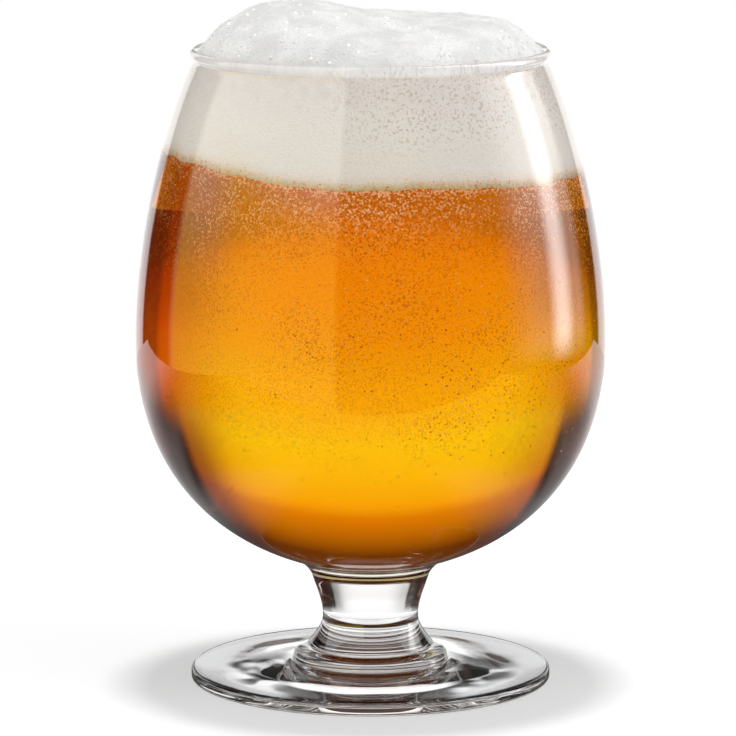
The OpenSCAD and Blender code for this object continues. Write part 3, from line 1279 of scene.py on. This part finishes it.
# %% How the backdrop falls off to the sides
wide = around.less(0.30, 10.0, 36.0) * around.less(0.22, -14.0, -36.0)
wide = wide * around.less(0.45, 39.5, 44.0) * around.less(0.5, -46.0, -50.0)
wide = wide * (1.0 - 0.28 * side.between(16.0, 30.0) * level.between(-8.0, -13.0))
narrow = side.less(0.28, 12.0, 31.0) * side.less(0.94, 31.0, 36.0)
narrow = narrow * around.less(0.5, 20.0, 31.0)
spread = wide + (narrow - wide) * level.between(-4.0, 8.0)
spread = spread.at_least(far_side * 0.9) * RAMP_TOP

# %% [markdown]
# ## What shows through clear glass
# Stem and foot show the same studio with no drink before it: a pale band at the level
# of the glass, and a dark ceiling over it, which draws the dark lines that clear glass
# needs on a white ground. Rays that were mirrored inside the glass on their way have
# tones of their own.

# %% Tones through clear glass
CLEAR_VIEW = (
    (-90, (0.7, 0.7, 0.7)),
    (-30, (0.62, 0.62, 0.62)),
    (-9, (0.9, 0.9, 0.9)),
    (-5, (1.05, 1.05, 1.05)),
    (8, (1.1, 1.1, 1.1)),
    (13, (0.96, 0.95, 0.92)),
    (17, (0.75, 0.72, 0.68)),
    (21, (0.10, 0.04, 0.03)),
    (30, (0.04, 0.012, 0.008)),
    (90, (0.02, 0.008, 0.006)),
)
MIRRORED_VIEW = (
    (-90, (0.3, 0.3, 0.3)),
    (-14, (0.6, 0.6, 0.6)),
    (-8, (0.10, 0.06, 0.05)),
    (3, (0.10, 0.06, 0.05)),
    (6, (0.06, 0.03, 0.02)),
    (10, (0.06, 0.03, 0.02)),
    (13, (0.8, 0.8, 0.8)),
    (22, (0.8, 0.8, 0.8)),
    (26, (0.10, 0.06, 0.05)),
    (42, (0.10, 0.06, 0.05)),
    (47, (0.16, 0.12, 0.11)),
    (90, (0.16, 0.12, 0.11)),
)
clear = mix_colours(sky, bounced, elevation_ramp(CLEAR_VIEW), elevation_ramp(MIRRORED_VIEW))
filled = light_path(sky, "Transmission Depth").between(4.4, 4.6)
through = scaled(sky, mix_colours(sky, filled, clear, drink), spread)

# %% [markdown]
# ## What the outside of the glass mirrors
# Three things show on the wall: a large card at the left, a bright strip with a wide
# soft halo at the right, and the lower edge of the backdrop. What lies low in front is
# gold, because there the glass mirrors a table in the light that the drink throws.

# %% Mirrored cards
GOLD = (0.82, 0.70, 0.08, 1.0)
CARD_POWER = 1.9
STRIP_POWER = 6.0

card = around.between(-165.0, -161.0) * around.between(-63.0, -70.0) * CARD_POWER
strip = around.between(60.0, 72.0) * around.between(84.0, 74.0) * STRIP_POWER
halo = around.between(48.0, 58.0) * around.between(114.0, 84.0)
strip = (strip + halo * (1.1 + 1.6 * level.between(0.0, 14.0))) * level.between(-10.0, -5.0)
low_part = level.between(9.0, 3.0) * 1.3
backdrop = side.between(34.0, 30.0) * level.between(38.0, 24.0)
backdrop = backdrop * (0.08 + 1.1 * side.between(6.0, 20.0)).at_least(low_part)

neutral = level.between(13.0, 21.0).at_least(1.0 - side.between(60.0, 70.0))
neutral = neutral.at_least(around.between(-110.0, -80.0) * level.between(0.0, 14.0) * 0.8)
card = times(sky, mix_colours(sky, neutral, GOLD, WHITE), card)
mirrored = mix_colours(sky, 1.0, card, backdrop + strip + 0.01, "ADD")

# %% The world for each kind of ray
ROOM_FILL = (0.38, 0.38, 0.38, 1.0)

seen = mix_colours(sky, light_path(sky, "Is Glossy Ray"), ROOM_FILL, mirrored)
seen = mix_colours(sky, light_path(sky, "Is Transmission Ray"), seen, through)
seen = mix_colours(sky, light_path(sky, "Is Camera Ray"), seen, WHITE)
light = add(sky, "ShaderNodeBackground", {}, {"Color": seen, "Strength": 1.0})
plug(sky, sky.nodes.new("ShaderNodeOutputWorld").inputs["Surface"], light)
print("world:", len(sky.nodes), "nodes")

# %% [markdown]
# ## The floor
# A white table carries the soft shadow. Real glass also gathers light into rings under
# its foot, which a path tracer finds only after a very long time. So rays that cross
# the foot see rings and folds of painted light and painted shade on the floor, and
# nothing else sees them. Where such rays were mirrored inside the glass, the painted
# shade is darker, and brown at the front. In the mirror of the wall the floor shows
# the gold light of the drink as a painted reflection, with pale painted light at the
# sides near the glass.

# %% Floor: which ray sees it, and where
floor_material, floor = new_material("white_table")
spot = place_on(floor)
reach = add(floor, "ShaderNodeVectorMath", {"operation": "LENGTH"}, {0: spot}, out="Value")
across, front, _ = axes(floor, spot)
aside = across.maths("ABSOLUTE")
shown = light_path(floor, "Is Camera Ray")
crossed = light_path(floor, "Is Transmission Ray")
in_mirror = light_path(floor, "Is Reflection Ray")


def glow(values):
    """A shader that shines by itself."""
    return add(floor, "ShaderNodeEmission", {}, values)


# %% Floor: the table as the camera sees it
CLOTH = (0.95, 0.95, 0.95, 1.0)

cloth = add(floor, "ShaderNodeBsdfDiffuse", {}, {"Color": CLOTH})
fill = shown.at_least(crossed) * (0.22 + 0.5 * reach.between(0.085, 0.16))
plain = add(floor, "ShaderNodeAddShader", {}, {0: cloth, 1: glow({"Strength": fill})})

# %% Floor: painted rings of light and shade under the foot
# Painted light and shade under the foot: dark rings are painted shade, bright rings painted light.
CAUSTIC_RINGS_UNDER_FOOT = (
    (0.0, (0.02, 0.004, 0.002)),
    (0.26, (0.02, 0.004, 0.002)),
    (0.30, (1.9, 1.9, 1.88)),
    (0.61, (1.9, 1.9, 1.88)),
    (0.64, (0.015, 0.004, 0.002)),
    (0.86, (0.02, 0.006, 0.003)),
    (0.90, (1.2, 1.2, 1.18)),
    (1.0, (1.2, 1.2, 1.18)),
)
# Painted folds of light and shade at the sides of the foot.
SIDE_CAUSTIC_FOLDS = (
    (0.42, (0.01, 0.01, 0.01)),
    (0.49, (0.04, 0.04, 0.04)),
    (0.54, (0.45, 0.46, 0.48)),
    (0.62, (1.5, 1.5, 1.5)),
)
PATTERN_R = 0.036
# Painted light around the rings and in front of them.
OUTER_TONE = (1.15, 1.16, 1.17, 1.0)
FAR_TONE = (1.15, 1.15, 1.15, 1.0)
# Painted shade, brown near the front, for rays that were mirrored inside the glass.
DEEP_NEAR = (0.04, 0.014, 0.008, 1.0)
DEEP_FAR = (0.20, 0.15, 0.13, 1.0)

waves = cloud(floor, spot, 70.0) - 0.5
ring = (reach + waves * 0.003) / PATTERN_R
rings = add(floor, "ShaderNodeValToRGB", {"stops": CAUSTIC_RINGS_UNDER_FOOT}, {0: ring})
fold = cloud(floor, spot, 130.0) - across * 3.0
folds = add(floor, "ShaderNodeValToRGB", {"stops": SIDE_CAUSTIC_FOLDS}, {0: fold})
outer = (reach + waves * 0.010).between(0.025, 0.029)
folds = mix_colours(floor, outer, folds, OUTER_TONE)
shades = mix_colours(floor, aside.between(0.013, 0.018), rings, folds)
shades = mix_colours(floor, front.between(0.004, 0.012), shades, FAR_TONE)
darker = mix_colours(floor, front.between(0.02, 0.024), DEEP_NEAR, DEEP_FAR)
deep = light_path(floor, "Glossy Depth").between(0.4, 0.6)
shades = mix_colours(floor, deep, shades, darker)
painted = crossed * reach.between(0.0355, 0.0335)
plain = mix_shaders(floor, painted, plain, glow({"Color": shades, "Strength": 1.0}))

# %% Floor: the table in the mirror of the wall
FLOOR_GOLD = (0.76, 0.74, 0.02, 1.0)

# Painted reflection: the gold light of the drink on the table in front, seen only in the mirror.
tone = mix_colours(floor, front.between(0.02, -0.03), WHITE, FLOOR_GOLD)
power = 0.08 + 1.6 * front.between(-0.03, -0.15) + 1.0 * front.between(0.05, 0.2)
gold = glow({"Color": tone, "Strength": power})
# Pale painted light at the sides near the glass, seen only in the mirror.
beside = front.between(0.02, 0.045) * reach.between(0.20, 0.11)
beside = reach.between(0.090, 0.060).at_least(beside) * aside.between(0.03, 0.06)
pale = glow({"Strength": 0.34 * beside})
gold = add(floor, "ShaderNodeAddShader", {}, {0: gold, 1: pale})
only_mirror = in_mirror * (1.0 - crossed) * (1.0 - shown)
table_seen = mix_shaders(floor, only_mirror, plain, gold)
open_way = add(floor, "ShaderNodeBsdfTransparent")
far_off = crossed * reach.between(0.15, 0.151)
finish_material(floor_material, mix_shaders(floor, far_off, table_seen, open_way))

# %% Floor: the table itself
TABLE_FRONT = -0.175
TABLE_BACK = 0.34
TABLE_SIDE = 0.34
TABLE_TOP = -0.0001

table_mesh = bpy.data.meshes.new("table")
corners = [
    (-TABLE_SIDE, TABLE_FRONT, TABLE_TOP),
    (TABLE_SIDE, TABLE_FRONT, TABLE_TOP),
    (TABLE_SIDE, TABLE_BACK, TABLE_TOP),
    (-TABLE_SIDE, TABLE_BACK, TABLE_TOP),
]
table_mesh.from_pydata(corners, [], [(0, 1, 2, 3)])
table_mesh.materials.append(floor_material)
table = bpy.data.objects.new("table", table_mesh)
bpy.context.scene.collection.objects.link(table)

# %% [markdown]
# ## Lamps
# Foam and table are matt, so real lamps light them: a small one above, a large soft
# box at the left and a narrower one at the right. The glass doesn't see them, because
# what it mirrors is already in the world, and each soft box would show there twice.

# %% Lamps
AIM = Vector((0.0, 0.0, 0.08))


def soft_box(name, place, size, power):
    """A square lamp that shines at the glass, and that only matt surfaces see."""
    lamp = bpy.data.lights.new(name, "AREA")
    lamp.shape = "RECTANGLE"
    lamp.size, lamp.size_y = size
    lamp.energy = power
    holder = bpy.data.objects.new(name, lamp)
    holder.location = place
    holder.rotation_euler = (AIM - Vector(place)).to_track_quat("-Z", "Y").to_euler()
    holder.visible_camera = False
    holder.visible_glossy = False
    holder.visible_transmission = False
    bpy.context.scene.collection.objects.link(holder)
    print(f"{name}: {power} W, {(AIM - Vector(place)).length:.2f} m away")


soft_box("top_box", (0.0, 0.06, 0.9), (0.12, 0.12), 2.85)
soft_box("left_box", (-0.6, -0.45, 0.35), (0.5, 0.5), 1.85)
soft_box("right_box", (0.6, -0.2, 0.3), (0.2, 0.5), 1.6)

# %% [markdown]
# ## How the light travels
# A ray may cross eight faces of glass and be mirrored between them, so it needs many
# bounces, or black spots stay in stem and foot. The caustic switches are off, because
# the painted pattern under the foot stands in for what they would add, without noise.

# %% How the light travels
scene = bpy.context.scene
scene.view_settings.view_transform = "Standard"
scene.cycles.caustics_reflective = False
scene.cycles.caustics_refractive = False
scene.cycles.max_bounces = 32
scene.cycles.transmission_bounces = 24
scene.cycles.glossy_bounces = 12
scene.cycles.transparent_max_bounces = 24
print("bounces:", scene.cycles.max_bounces)
